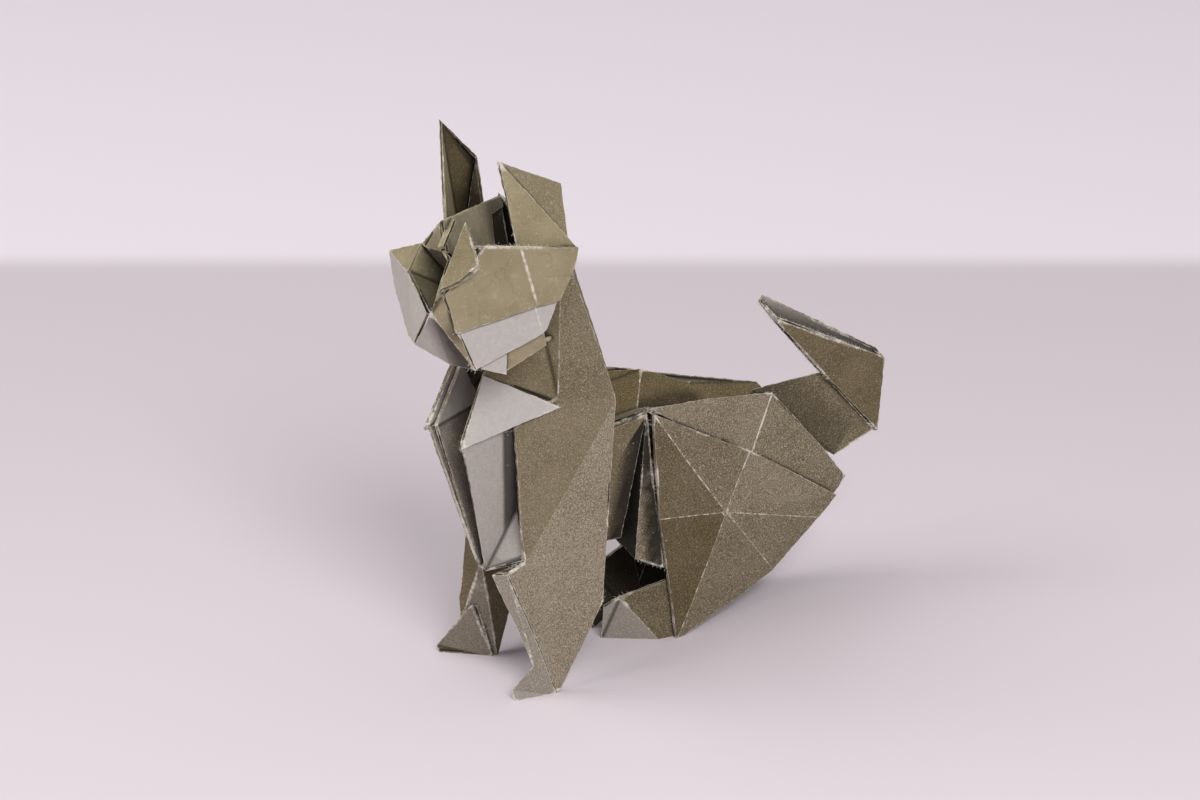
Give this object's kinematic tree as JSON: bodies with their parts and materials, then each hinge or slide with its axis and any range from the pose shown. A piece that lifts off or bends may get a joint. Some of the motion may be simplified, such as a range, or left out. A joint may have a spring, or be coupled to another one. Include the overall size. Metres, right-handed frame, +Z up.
{
  "type": "folded paper dog",
  "caption": "Sitting dog folded from speckled paper, with pricked ears, a pale bib and a raised tail; a small figure that stands free on a table or shelf.",
  "frame": {"origin": "on the table, under the middle of the figure's bounding box", "axes": "+X the way the chest faces, +Y towards the dog's left, +Z up"},
  "size_m": [0.0778, 0.026, 0.0786],
  "materials": {
    "speckled_paper": "matt, fibrous, pale reverse"
  },
  "bodies": {
    "root": {"origami_dog": "speckled_paper"}
  },
  "joints": []
}
